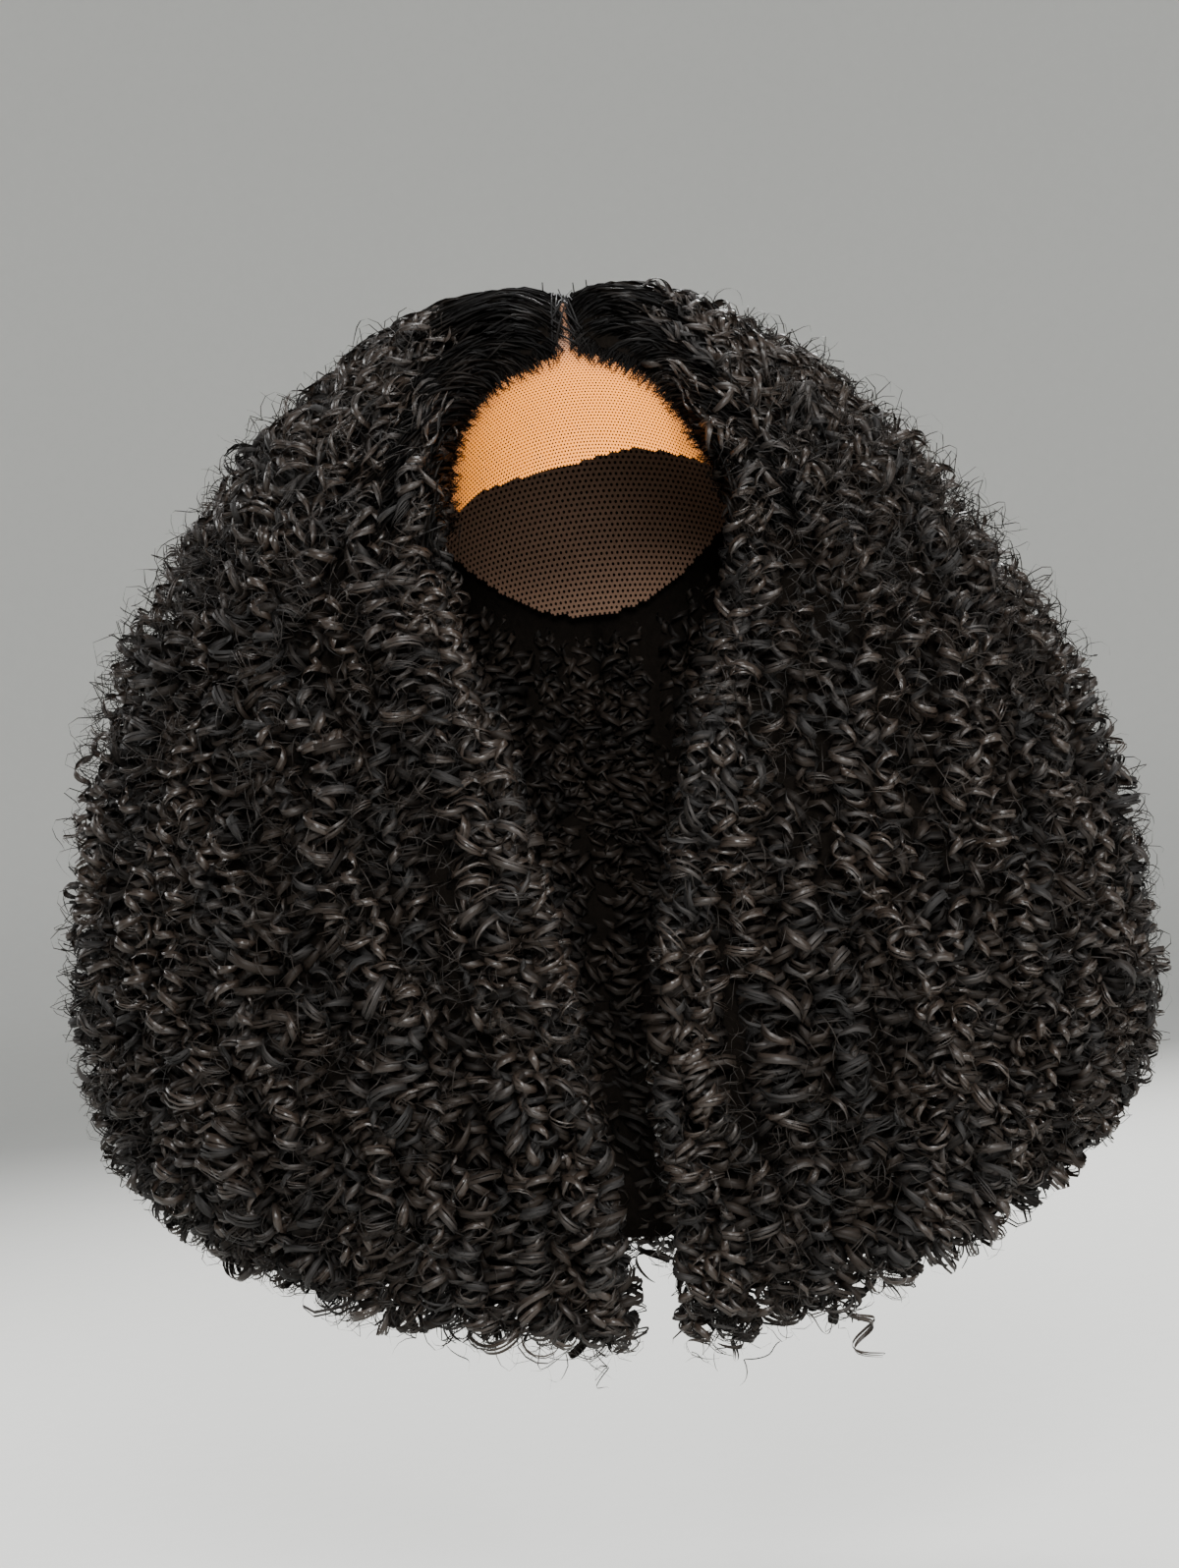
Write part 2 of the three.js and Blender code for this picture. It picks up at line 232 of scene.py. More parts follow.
def even_share(side, quarter, drop, place):
    steps = np.linspace(0, 1, EVEN_STEPS)
    points = outline_point(outer_turn(side, quarter + steps, drop), drop)
    length = lengths_along(points)
    return quarter + np.interp(place * length[-1], length, steps)


# Length down the hair's surface to each drop, so that locks near the crown aren't stretched.
ARC_END, ARC_COUNT = 560, 1121
arc_drops = np.linspace(0, ARC_END, ARC_COUNT)
arc_half = (read(OUTLINE, 1, arc_drops) + read(OUTLINE, 4, arc_drops)) / 2
arc_lengths = lengths_along(np.stack([arc_drops, arc_half], axis=-1))


def drop_after(drop, length):
    return np.interp(np.interp(drop, arc_drops, arc_lengths) + length, arc_lengths, arc_drops)


# Point on the front of the head at a distance across and a height.
def on_scalp(x, z, lift):
    grown = 1 + lift / HEAD_HEIGHT
    squared = 1 - (x / (HEAD_HALF * grown)) ** 2 - ((z + HEAD_HEIGHT) / (HEAD_HEIGHT * grown)) ** 2
    y = -HEAD_FRONT * grown * np.sqrt(np.clip(squared, 0, 1))
    return np.stack([x, y, z], axis=-1)


# Map of streaks along a strand: millimetres for one unit, and the range of its random places.
STREAK_LENGTH = 10
STREAK_RANGE = 100

# Map named OFBake: cells six times as long as wide, and how much of a cell a strip fills.
CELL_STRETCH = 6
CELL_ACROSS = np.array([0.1, 0.9])
CELL_ALONG = (0.02, 0.98)


# Collects strips of faces with rounded shading into one mesh.
class Builder:
    def __init__(self):
        self.points, self.normals, self.shades = [], [], []
        self.streaks, self.cells, self.quads = [], [], []
        self.count = 0
        self.strips = 0

    def add_ribbons(self, lines, facing, widths, shades, round_off=0.8, lean=0.0):
        """A strip of two edges along each line, shaded as a round strand or as part of a round lock."""
        strips, rows, _ = lines.shape
        ahead = unit(np.gradient(lines, axis=1))
        side = unit(np.cross(ahead, facing))
        out = unit(np.cross(side, ahead))
        half = widths[..., None] / 2
        number = np.arange(strips * rows * 2).reshape(strips, rows, 2) + self.count
        quads = [number[:, :-1, 0], number[:, :-1, 1], number[:, 1:, 1], number[:, 1:, 0]]
        streaks = np.empty((strips, rows, 2, 2))
        streaks[..., 0] = np.arange(2) + rng.random((strips, 1, 1)) * STREAK_RANGE
        streaks[..., 1] = lengths_along(lines)[..., None] / STREAK_LENGTH
        streaks[..., 1] += rng.random((strips, 1, 1)) * STREAK_RANGE
        cells = np.empty((strips, rows, 2, 3))
        cells[..., 0] = (np.arange(strips) + self.strips)[:, None, None]
        cells[..., 1] = CELL_ACROSS
        cells[..., 2] = np.linspace(*CELL_ALONG, rows)[:, None]
        self.points.append(np.stack([lines - side * half, lines + side * half], axis=2).reshape(-1, 3))
        edges = [out + (lean - round_off) * side, out + (lean + round_off) * side]
        self.normals.append(np.stack(edges, axis=2).reshape(-1, 3))
        self.shades.append(np.broadcast_to(shades[..., None], (strips, rows, 2)).ravel())
        self.streaks.append(streaks.reshape(-1, 2))
        self.cells.append(cells.reshape(-1, 3))
        self.quads.append(np.stack(quads, axis=-1).reshape(-1, 4))
        self.count += number.size
        self.strips += strips

    def baked_places(self):
        """Every strip gets a cell of its own in a grid, for the OFBake map."""
        columns = math.ceil(math.sqrt(CELL_STRETCH * self.strips))
        rows = math.ceil(self.strips / columns)
        cells = np.concatenate(self.cells)
        across = (cells[:, 0] % columns + cells[:, 1]) / columns
        along = (cells[:, 0] // columns + cells[:, 2]) / rows
        return np.stack([across, along], axis=-1)

    def make(self, name, material, node, slot):
        """Turns each face to its shading normal and joins all strips into one piece."""
        points = np.concatenate(self.points) * MM
        quads = np.concatenate(self.quads)
        normals = unit(np.concatenate(self.normals))
        first = points[quads[:, 2]] - points[quads[:, 0]]
        second = points[quads[:, 3]] - points[quads[:, 1]]
        inward = (np.cross(first, second) * normals[quads].sum(axis=1)).sum(axis=-1) < 0
        quads[inward] = quads[inward, ::-1]
        mesh = face_mesh(name, points, quads)
        add_map(mesh, "strand", np.concatenate(self.streaks))
        add_map(mesh, "OFBake", self.baked_places())
        add_values(mesh, "shade", np.concatenate(self.shades))
        mesh.normals_split_custom_set_from_vertices(normals)
        return add_piece(name, mesh, material, node)


NO_TRIANGLES = np.empty((0, 3), int)


def face_mesh(name, points, quads, triangles=NO_TRIANGLES):
    mesh = bpy.data.meshes.new(name)
    corners = np.concatenate([quads.ravel(), triangles.ravel()])
    starts = np.concatenate([np.arange(0, quads.size, 4), np.arange(quads.size, corners.size, 3)])
    mesh.vertices.add(len(points))
    mesh.vertices.foreach_set("co", points.ravel())
    mesh.loops.add(corners.size)
    mesh.loops.foreach_set("vertex_index", corners)
    mesh.polygons.add(len(starts))
    mesh.polygons.foreach_set("loop_start", starts)
    mesh.update(calc_edges=True)
    mesh.shade_smooth()
    return mesh


def add_map(mesh, name, places):
    corners = np.empty(len(mesh.loops), int)
    mesh.loops.foreach_get("vertex_index", corners)
    layer = mesh.uv_layers.new(name=name)
    layer.data.foreach_set("uv", places[corners].ravel())


def add_values(mesh, name, values):
    attribute = mesh.attributes.new(name, "FLOAT", "POINT")
    attribute.data.foreach_set("value", values)


def add_piece(name, mesh, material, node):
    mesh.materials.append(material)
    piece = bpy.data.objects.new(name, mesh)
    bpy.context.collection.objects.link(piece)
    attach(piece, "root")
    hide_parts(node)
    return piece


# Patches of lighter and darker hair: even noise in space with a spread of about 1.
SHEEN_COUNT = 12
SHEEN_LENGTHS = (15, 36)
SHEEN_WAVES = unit(rng.normal(0, 1, (SHEEN_COUNT, 3))) / rng.uniform(*SHEEN_LENGTHS, (SHEEN_COUNT, 1))
SHEEN_PHASES = rng.uniform(0, TAU, SHEEN_COUNT)
SHEEN_DEPTH = 0.38


def sheen(points):
    noise = np.sin(TAU * points @ SHEEN_WAVES.T + SHEEN_PHASES)
    return noise.sum(axis=-1) / math.sqrt(SHEEN_COUNT / 2)


# How locks of a kind hang and wind: lean and sway on the way down, rows of points along a strand,
# strands side by side, their width, and the shade.
Style = namedtuple("Style", "lean sway rows strands width shade")

# How a lock differs from an even coil: waves along it in angle and girth, the spread of its
# strands' places and reaches, and the range of their widths.
DRIFT, DRIFT_WAVES = 0.6, 1.3
SWELL, SWELL_WAVES = 0.15, 2.2
PLACE_SPREAD, REACH_SPREAD = 0.15, 0.06
WIDTH_LEAST, WIDTH_RANGE = 0.75, 0.5

# Distance between the strands of a lock, as a share of their width.
STRANDS_APART = 0.85

# Shares of a strand over which its root and its tip taper, and their widths.
ROOT_SHARE, ROOT_WIDTH = 0.04, 0.2
TIP_SHARE, TIP_WIDTH = 0.22, 0.1

# Spread of tones from lock to lock and from strand to strand, and the painted shade of a coil: how much
# lighter it is painted on the side that faces out of the hair than on its inside, where hair shades it.
LOCK_TONES, STRAND_TONES = 0.15, 0.05
COIL_PAINTED_SHADE = 0.3

# Lean of the shading at a lock's outer strands and its roundness, shared out among the strands.
LOCK_LEAN, LOCK_ROUND = 1.8, 0.9


# Winds strands round axes: every axis carries one lock of strands that lie side by side, and the
# lock is shaded as one round cord.
def wind(builder, axes, normals, radius, turns, style, grow, painted_shade=0.0, root=ROOT_SHARE):
    count, rows, _ = axes.shape
    t = np.linspace(0, 1, rows)
    ahead = unit(np.gradient(axes, axis=1))
    side = unit(np.cross(ahead, normals))
    out = np.cross(side, ahead)
    hand = np.where(rng.random(count) < 0.5, -1.0, 1.0)[:, None]
    phase = rng.random(count)[:, None] * TAU
    drift = DRIFT * np.sin(TAU * (DRIFT_WAVES * t + rng.random((count, 1))))
    girth = radius[:, None] * grow(t)
    girth = girth * (1 + SWELL * np.sin(TAU * (SWELL_WAVES * t + rng.random((count, 1)))))
    pitch = lengths_along(axes)[:, -1] / turns
    spread = (TAU * STRANDS_APART * style.width / pitch)[:, None]
    # Tone of each lock, with any painted shade of its clump added.
    tone = np.reshape(style.shade + painted_shade, (-1, 1)) + rng.normal(0, LOCK_TONES, (count, 1))
    tone = tone + SHEEN_DEPTH * sheen(axes)
    taper = np.clip(np.minimum(t / root + ROOT_WIDTH, (1 - t) / TIP_SHARE + TIP_WIDTH), 0, 1)
    for k in range(style.strands):
        place = k - (style.strands - 1) / 2
        offset = (place + rng.normal(0, PLACE_SPREAD, count)[:, None]) * spread
        angle = phase + hand * (TAU * turns[:, None] * t + drift + offset)
        reach = girth * (1 + rng.normal(0, REACH_SPREAD, count)[:, None])
        facing = np.cos(angle)[..., None] * out + np.sin(angle)[..., None] * side
        lines = axes + reach[..., None] * facing
        widths = style.width * (WIDTH_LEAST + WIDTH_RANGE * rng.random((count, 1))) * taper
        # Painted shade: each coil is painted darker on its inside and lighter on its outside.
        tones = tone + COIL_PAINTED_SHADE * np.cos(angle) + rng.normal(0, STRAND_TONES, (count, 1))
        lean = LOCK_LEAN * place / style.strands * hand[..., None]
        builder.add_ribbons(lines, facing, widths, np.clip(tones, 0, 1), LOCK_ROUND / style.strands, lean)


# Clumps of locks: even noise with a spread of about 1, made of plane waves over the surface. Each
# wave has a length, a way and a phase, and a turn counts as the arc at a usual radius.
CLUMP_COUNT = 8
CLUMP_LEAST, CLUMP_MOST = (22, 0, 0), (50, math.pi, TAU)
CLUMP_WAVES = rng.uniform(CLUMP_LEAST, CLUMP_MOST, (CLUMP_COUNT, 3))
CLUMP_RADIUS = 200


def clump(turn, drop):
    around = CLUMP_RADIUS * np.asarray(turn)
    total = np.zeros(around.shape)
    for wavelength, way, phase in CLUMP_WAVES:
        total += np.sin(TAU * (around * math.cos(way) + drop * math.sin(way)) / wavelength + phase)
    return total / math.sqrt(CLUMP_COUNT / 2)


# How clumps lift locks, where they are full, the most that a lock is lifted, and how far it may
# pass the ear line.
CLUMP_DEPTH = 2.5
CLUMP_FULL = 60
LIFT_MOST = 7.0
EAR_OVERLAP = 0.12

# Wavelengths of the sway, and the share, rate and phase of the sway in and out.
SWAY_LENGTHS = (40, 75)
LIFT_SWAY, LIFT_RATE, LIFT_PHASE = 0.8, 1.27, 2


# Axes of locks that hang through the hair from given shares, levels and depths. Clumps grow out
# below the crown, and outward shifts level off, so that no lock strays far from the outline.
def hanging_axes(side, share, drop, length, depth, style, flare=0.0):
    count = len(share)
    t = np.linspace(0, 1, style.rows)
    drops = drop_after(drop[:, None], length[:, None] * t)
    low, high = (0.0, 1 + EAR_OVERLAP) if share.max() <= 1 else (1 - EAR_OVERLAP, 2.0)
    shares = np.clip(share[:, None] + rng.normal(0, style.lean, count)[:, None] * t, low, high)
    turns = outer_turn(side, shares, drops)
    normals = outline_normal(turns, drops)
    wave = TAU * (length[:, None] * t / rng.uniform(*SWAY_LENGTHS, (count, 1)) + rng.random((count, 1)))
    lift = np.reshape(flare, (-1, 1)) * t**2
    lift = lift + CLUMP_DEPTH * clump(turns, drops) * ease(drops / CLUMP_FULL)
    lift = lift + LIFT_SWAY * style.sway * np.sin(LIFT_RATE * wave + LIFT_PHASE)
    lift = np.where(lift > 0, LIFT_MOST * np.tanh(lift / LIFT_MOST), lift)
    axes = inside_point(side, shares, drops, np.broadcast_to(depth[:, None], shares.shape))
    axes = axes + normals * lift[..., None]
    round_way = unit(np.cross(normals, np.gradient(axes, axis=1)))
    return axes + round_way * (style.sway * np.sin(wave))[..., None], normals


# Radius and number of turns of coils, most of them 8 to 13 millimetres across.
USUAL_RADIUS, RADIUS_SPREAD = 5.0, 0.24
RADIUS_RANGE = (2.8, 8.5)
COIL_PITCHES = (9.5, 12.5)


def coil_size(length, usual=USUAL_RADIUS):
    radius = np.clip(rng.lognormal(math.log(usual), RADIUS_SPREAD, len(length)), *RADIUS_RANGE)
    return radius, length / rng.uniform(*COIL_PITCHES, len(length))


# Growth of a coil to its full radius, over a share of its length.
def growth_over(share):
    return lambda t: 1 - np.exp(-t / share)


curl_growth = growth_over(0.12)
slow_growth = growth_over(0.45)
WAVE_POWER = 2.2


def wave_growth(t):
    return t**WAVE_POWER


# Layers of ringlets over a quarter of the wig, in overlapping rows. Each has a style, a depth range,
# the gap between ringlets in front and behind, the step between rows, and the distance from the
# parting where it begins.
Layer = namedtuple("Layer", "style depth gap row_step begins")
OUTER_LAYERS = [Layer(Style(0.05, 4.0, 72, 3, 1.3, 0.5), (5, 9), (15, 19), 56, 62)]
# The inner layers use the darker inner hair material, and the deepest layer a lower shade still: painted
# shade for the depth of the hair.
INNER_LAYERS = [
    Layer(Style(0.05, 4.0, 56, 2, 1.9, 0.5), (11, 16), (14, 18), 46, 46),
    Layer(Style(0.05, 4.0, 46, 1, 3.4, 0.2), (17, 23), (14, 18), 46, 40),
]
RINGLET_RADIUS = 5.2
RINGLET_LENGTHS = (66, 105)
RINGLET_TOP = 6
FLARE_MEAN, FLARE_SPREAD = 1, 5
# Painted light and shade: ringlets where clumps lift them out are painted lighter, and those sunk between
# clumps darker.
CLUMP_PAINTED_SHADE = 0.4

# Levels of the rows, how far below a row its ringlets are counted, and where coils start faster.
ROWS_FROM, ROWS_TO = 20, 436
ROW_MIDDLE = 30.0
ROW_STEPS = 40
FAST_FROM = 70

# Depths as shares of the hair's thickness: ringlets below DEEP only flare outward and none starts
# below DEEPEST, so that they stay out of the hollow.
DEEP = 0.6
DEEPEST = 0.72

# On the right, curls begin nearer to the parting and the hair lies flatter.
RIGHT_SOONER = 14.0
RIGHT_FLATTER = 3.0


def sooner(side):
    return RIGHT_SOONER if side > 0 else 0.0


def flatter(side):
    return RIGHT_FLATTER if side > 0 else 0.0


# Depths in millimetres from a range, as shares of the hair's thickness.
def depth_shares(side, share, drop, depths):
    return (rng.uniform(*depths, len(share)) + flatter(side)) / thickness(side, share, drop)


def cover(builder, layers, side, quarter):
    for layer in layers:
        for start in np.arange(ROWS_FROM, ROWS_TO, layer.row_step):
            level = start + ROW_MIDDLE
            steps = np.linspace(quarter, quarter + 1, ROW_STEPS)
            reach = lengths_along(outline_point(outer_turn(side, steps, level), level))[-1]
            count = max(2, int(reach / layer.gap[quarter] * AMOUNT))
            place = (np.arange(count) + rng.random(count)) / count
            share = even_share(side, quarter, level, place)
            drop = start + layer.row_step * rng.uniform(-0.5, 0.5, count)
            drop = np.maximum(drop, RINGLET_TOP)
            kept = past_smooth_hair(side, share, drop, layer.begins - sooner(side))
            share, drop = share[kept], drop[kept]
            count = len(share)
            length = np.minimum(rng.uniform(*RINGLET_LENGTHS, count), END_DROP - drop)
            depth = np.minimum(depth_shares(side, share, drop, layer.depth), DEEPEST)
            flare = rng.normal(FLARE_MEAN, FLARE_SPREAD, count)
            flare = np.where(depth < DEEP, flare, np.abs(flare))
            axes, normals = hanging_axes(side, share, drop, length, depth, layer.style, flare)
            radius, turns = coil_size(length, RINGLET_RADIUS)
            grow = slow_growth if start < FAST_FROM else curl_growth
            painted_shade = CLUMP_PAINTED_SHADE * clump(outer_turn(side, share, drop), drop + length / 2)
            wind(builder, axes, normals, radius, turns, layer.style, grow, painted_shade)


# Places that lie far enough from the parting, or low enough beside the face.
def past_smooth_hair(side, share, drop, distance):
    across = np.abs(outline_point(outer_turn(side, share, drop), drop)[..., 0])
    return (across > distance) | (drop > distance) | (share > 1)


# Ringlets beside the face, from the outline in to the hollow, finer on the temples.
FACE_SHARE = 0.05
FACE_TOP, FACE_SPAN, FACE_POWER = 56, 370, 1.25
FACE_LENGTHS = (60, 100)
FACE_DEPTHS = (0.05, 0.95)
TEMPLE_END = 100
TEMPLE_STYLE = Style(0.02, 3.0, 60, 3, 0.8, 0.4)
FACE_STYLE = Style(0.02, 3.0, 60, 2, 1.5, 0.4)


def face_wall(builder, side, count):
    count = int(count * AMOUNT)
    share = rng.uniform(0, FACE_SHARE, count)
    drop = FACE_TOP + FACE_SPAN * rng.random(count) ** FACE_POWER
    length = np.minimum(rng.uniform(*FACE_LENGTHS, count), END_DROP - drop)
    depth = rng.uniform(*FACE_DEPTHS, count)
    axes, normals = hanging_axes(side, share, drop, length, depth, FACE_STYLE)
    radius, turns = coil_size(length)
    high = drop < TEMPLE_END
    for part, style, grow in ((high, TEMPLE_STYLE, slow_growth), (~high, FACE_STYLE, curl_growth)):
        wind(builder, axes[part], normals[part], radius[part], turns[part], style, grow)


# Loose waves between the smooth hair and the ringlets, from the parting or the face edge outward.
WAVE_STYLE = Style(0.06, 3.0, 44, 4, 1.0, 0.6)
WAVE_DROPS = (5, 70)
WAVE_BEGINS, WAVE_INSET = 52, 8
WAVE_REACH, WAVE_CROWDING = 1.1, 1.5
WAVE_LENGTHS = (55, 100)
WAVE_DEPTHS = (2, 7)
WAVE_PITCHES = (18, 28)
WAVE_RADII = (4, 8)


def waves(builder, side, count):
    count = int(count * AMOUNT)
    drop = rng.uniform(*WAVE_DROPS, count)
    nearest = np.maximum(WAVE_BEGINS - sooner(side), face_edge(side, drop) + WAVE_INSET)
    least = share_at(side, nearest, drop)
    share = np.minimum(least + (WAVE_REACH - least) * rng.random(count) ** WAVE_CROWDING, 1.0)
    length = rng.uniform(*WAVE_LENGTHS, count)
    depth = depth_shares(side, share, drop, WAVE_DEPTHS)
    axes, normals = hanging_axes(side, share, drop, length, depth, WAVE_STYLE)
    turns = length / rng.uniform(*WAVE_PITCHES, count)
    radius = rng.uniform(*WAVE_RADII, count)
    wind(builder, axes, normals, radius, turns, WAVE_STYLE, slow_growth)


# Ends of ringlets along the hem, from the outline in to the hollow.
HEM_STYLE = Style(0.03, 3.0, 40, 2, 1.6, 0.4)
HEM_FROM, HEM_TO = 381.0, 426.0
HEM_PAST = (-10, 6)
HEM_DEPTHS = (0.04, 1.0)


def hem(builder, side, quarter, count):
    count = int(count * AMOUNT)
    share = even_share(side, quarter, HEM_TO, rng.random(count))
    drop = rng.uniform(HEM_FROM, HEM_TO, count)
    length = END_DROP - drop + rng.uniform(*HEM_PAST, count)
    depth = rng.uniform(*HEM_DEPTHS, count)
    axes, normals = hanging_axes(side, share, drop, length, depth, HEM_STYLE)
    radius, turns = coil_size(length)
    wind(builder, axes, normals, radius, turns, HEM_STYLE, curl_growth)


# Loose single hairs that stand off the ringlets, farther near the top.
LOOSE_STYLE = Style(0.09, 4.0, 22, 1, 0.4, 0.5)
LOOSE_CROWDING, LOOSE_LEVEL = 1.15, 250.0
LOOSE_BEGINS, LOOSE_TOP, LOOSE_PAST = 50, 12, 8
LOOSE_LENGTHS = (25, 60)
LOOSE_FLARES = (-2, 9)
LOOSE_DEPTHS = (1, 6)
LOOSE_RADII = (2.5, 6.5)
LOOSE_PITCHES = (11, 18)
STRAY_MOST, STRAY_END, STRAY_FADE = 10, 210, 40


def flyaways(builder, side, quarter, count):
    count = int(count * AMOUNT)
    drop = HAIR_LENGTH * rng.random(count) ** LOOSE_CROWDING
    share = even_share(side, quarter, LOOSE_LEVEL, rng.random(count))
    kept = past_smooth_hair(side, share, drop, LOOSE_BEGINS) & (drop > LOOSE_TOP)
    share, drop = share[kept], drop[kept]
    count = len(share)
    length = np.minimum(rng.uniform(*LOOSE_LENGTHS, count), END_DROP + LOOSE_PAST - drop)
    flare = rng.uniform(*LOOSE_FLARES, count)
    depth = depth_shares(side, share, drop, LOOSE_DEPTHS)
    axes, normals = hanging_axes(side, share, drop, length, depth, LOOSE_STYLE, flare)
    stray = rng.uniform(0, STRAY_MOST, count) * np.clip((STRAY_END - drop) / STRAY_FADE, 0, 1)
    axes = axes + normals * (stray[:, None] * np.linspace(0, 1, LOOSE_STYLE.rows))[..., None]
    radius = rng.uniform(*LOOSE_RADII, count)
    turns = length / rng.uniform(*LOOSE_PITCHES, count)
    wind(builder, axes, normals, radius, turns, LOOSE_STYLE, curl_growth)


# Line of roots along the parting and the hairline: its first drop, its span, its steps, its lift
# off the head, and how near roots come to the middle.
ROOT_TOP, ROOT_SPAN, ROOT_STEPS = 11.3, 100, 400
ROOT_LIFT = 0.6
ROOT_NEAREST = 0.4


# Roots of the smooth hair, at places from 0 at the crown, along the parting and the hairline, to
# 1 at the temple. Each is set back from that line, and its drop on the line is given too.
def root_places(side, place, set_back):
    drop = ROOT_TOP + ROOT_SPAN * np.linspace(0, 1, ROOT_STEPS) ** 2
    line = np.stack([side * face_edge(side, drop), HAIR_TOP - drop], axis=-1)
    length = lengths_along(on_scalp(line[:, 0], line[:, 1], ROOT_LIFT))
    along = unit(np.gradient(line, axis=0))
    back = side * np.stack([-along[:, 1], along[:, 0]], axis=-1)
    at = place * length[-1]
    x = np.interp(at, length, line[:, 0]) + set_back * np.interp(at, length, back[:, 0])
    z = np.interp(at, length, line[:, 1]) + set_back * np.interp(at, length, back[:, 1])
    return side * np.maximum(side * x, ROOT_NEAREST), z, np.interp(at, length, drop)


# Smooth hair: how roots crowd towards the temple, how far they lie behind the parting and the
# hairline, and how far over the hairline a hair may start.
SLEEK_STYLE = Style(0.0, 0.0, 20, 1, 1.15, 0.1)
SLEEK_CROWDING = 0.9
SET_BACK_SHAPE = 2
PARTING_SCALE, PARTING_SHIFT = 1.2, 1.1
HAIRLINE_SCALE, HAIRLINE_SHIFT = 2.4, 5
SLEEK_OVER, SLEEK_BLEND = 9, 0.3

# Where smooth hair ends: how far it falls, and its share round the wig by the place of its root.
SLEEK_FALLS = (18, 44)
FALL_POWER, TURN_POWER = 1.4, 0.9
END_PLACES, END_SHARES = [0, 0.2, PARTING_SHARE, 1], [1.25, 0.75, 0.38, 0.06]
END_SPREAD, END_RANGE = 0.07, (0.02, 1.3)

# Depth of smooth hair, how much deeper it goes under the ringlets, from a share of its length on,
# and the share by which it has risen, by the drop of its root.
SLEEK_DEPTHS = (2, 8)
SLEEK_UNDER, UNDER_FROM, UNDER_SPAN = 9, 0.4, 0.6
RISE_DROPS, RISE_SHARES = [11, 25, 50], [0.16, 0.22, 0.45]
SLEEK_RADII, SLEEK_TURNS = (1.5, 4.5), (1.0, 2.2)
SLEEK_ROOT = 0.25


# Smooth hair from the parting and the hairline, which rises to the outline, starts to wave and
# goes in under the ringlets. Seen from above, hair from the parting runs straight.
def sleek(builder, side, count):
    count = int(count * AMOUNT)
    t = np.linspace(0, 1, SLEEK_STYLE.rows)
    place = rng.random(count) ** SLEEK_CROWDING
    parted = place < PARTING_SHARE
    from_parting = rng.gamma(SET_BACK_SHAPE, PARTING_SCALE, count) - PARTING_SHIFT
    from_hairline = rng.gamma(SET_BACK_SHAPE, HAIRLINE_SCALE, count) - HAIRLINE_SHIFT
    x, z, root_drop = root_places(side, place, np.where(parted, from_parting, from_hairline))
    roots = on_scalp(x, z, ROOT_LIFT)
    above_root = np.interp(-roots[:, 1], OUTLINE[:, 3], OUTLINE[:, 0])
    beside_root = np.maximum(root_drop - SLEEK_OVER, above_root)
    start_drop = above_root + (beside_root - above_root) * ease((place - PARTING_SHARE) / SLEEK_BLEND)
    end_drop = start_drop + rng.uniform(*SLEEK_FALLS, count)
    drops = start_drop[:, None] + (end_drop - start_drop)[:, None] * t**FALL_POWER
    end_share = np.interp(place, END_PLACES, END_SHARES)
    end_share = np.clip(end_share + rng.normal(0, END_SPREAD, count), *END_RANGE)
    start_turn = np.arcsin(np.clip(x / half_width(side, start_drop), -1, 1))
    end_turn = outer_turn(side, end_share, end_drop)
    turns = start_turn[:, None] + (end_turn - start_turn)[:, None] * t**TURN_POWER
    ends = outline_point(end_turn, end_drop)
    straight = roots[:, None, :2] * (1 - t[:, None]) + ends[:, None, :2] * t[:, None]
    far = np.linalg.norm(straight, axis=-1)
    straight_drops = np.interp(far, OUTLINE[:, 1:4].mean(axis=1), OUTLINE[:, 0])
    turns = np.where(parted[:, None], np.arctan2(straight[..., 0], -straight[..., 1]), turns)
    drops = np.where(parted[:, None], straight_drops, drops)
    normals = outline_normal(turns, drops)
    sunk = rng.uniform(*SLEEK_DEPTHS, count)[:, None] + flatter(side)
    sunk = sunk + SLEEK_UNDER * ease((t - UNDER_FROM) / UNDER_SPAN)
    over = outline_point(turns, drops) - normals * sunk[..., None]
    risen_at = np.interp(root_drop, RISE_DROPS, RISE_SHARES)
    rise = ease(t / risen_at[:, None])[..., None]
    axes = roots[:, None, :] * (1 - rise) + over * rise
    radius = rng.uniform(*SLEEK_RADII, count)
    coils = rng.uniform(*SLEEK_TURNS, count)
    wind(builder, axes, normals, radius, coils, SLEEK_STYLE, wave_growth, root=SLEEK_ROOT)


# Smooth hair over the back of the crown, which comes up from the cap.
CROWN_STYLE = Style(0.05, 1.5, 26, 1, 1.7, 0.6)
CROWN_SHARES = (0.9, 2.0)
CROWN_DROP = 7
CROWN_LENGTHS = (70, 120)
CROWN_DEPTHS, CROWN_FLATTER, CROWN_THICKNESS = (0, 5), 2, 25
CROWN_SUNK, CROWN_RISEN = 8.0, 0.3
CROWN_RADII, CROWN_PITCH = (2, 5), 30
CROWN_ROOT = 0.2


def crown(builder, side, count):
    count = int(count * AMOUNT)
    share = rng.uniform(*CROWN_SHARES, count)
    drop = CROWN_DROP * rng.random(count) ** 2
    length = rng.uniform(*CROWN_LENGTHS, count)
    depth = (rng.uniform(*CROWN_DEPTHS, count) + CROWN_FLATTER * flatter(side)) / CROWN_THICKNESS
    axes, normals = hanging_axes(side, share, drop, length, depth, CROWN_STYLE)
    sunk = CROWN_SUNK * (1 - ease(np.linspace(0, 1, CROWN_STYLE.rows) / CROWN_RISEN))
    axes = axes - normals * sunk[:, None]
    radius = rng.uniform(*CROWN_RADII, count)
    turns = length / CROWN_PITCH
    wind(builder, axes, normals, radius, turns, CROWN_STYLE, wave_growth, root=CROWN_ROOT)


